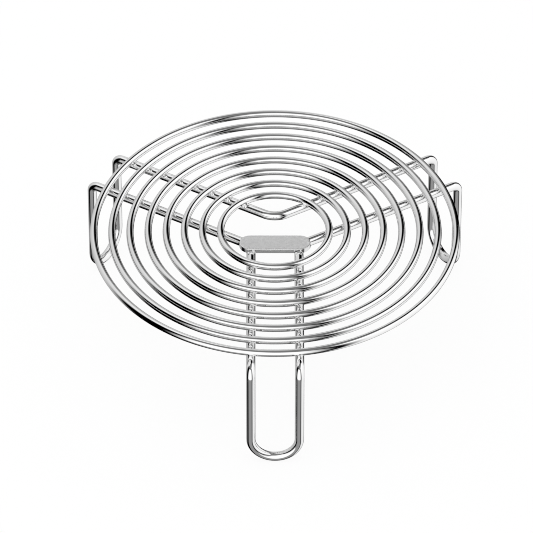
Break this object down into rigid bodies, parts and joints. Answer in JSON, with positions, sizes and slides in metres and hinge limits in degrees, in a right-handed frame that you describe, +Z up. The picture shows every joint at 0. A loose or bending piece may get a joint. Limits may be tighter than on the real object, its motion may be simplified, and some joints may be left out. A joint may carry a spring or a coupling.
{
  "type": "cooling rack",
  "caption": "Round wire cooling rack: concentric polished rings welded on a radial wire frame with hairpin legs and a small centre plate.",
  "frame": {"origin": "on the axis of the rings, at the level of the surface that the three feet stand on", "axes": "+Z up along the axis of the rings; -Y towards the front leg, which is the one below the centre plate; +X towards the right rear leg's side"},
  "size_m": [0.188, 0.1931, 0.0643],
  "materials": {
    "ring_wire": "polished",
    "frame_wire": "polished",
    "plate": "satin"
  },
  "bodies": {
    "root": {"ring_1": "ring_wire", "ring_2": "ring_wire", "ring_3": "ring_wire", "ring_4": "ring_wire", "ring_5": "ring_wire", "ring_6": "ring_wire", "ring_7": "ring_wire", "ring_8": "ring_wire", "side_leg_wire": "frame_wire", "front_leg_wire": "frame_wire", "centre_plate": "plate"}
  },
  "joints": []
}
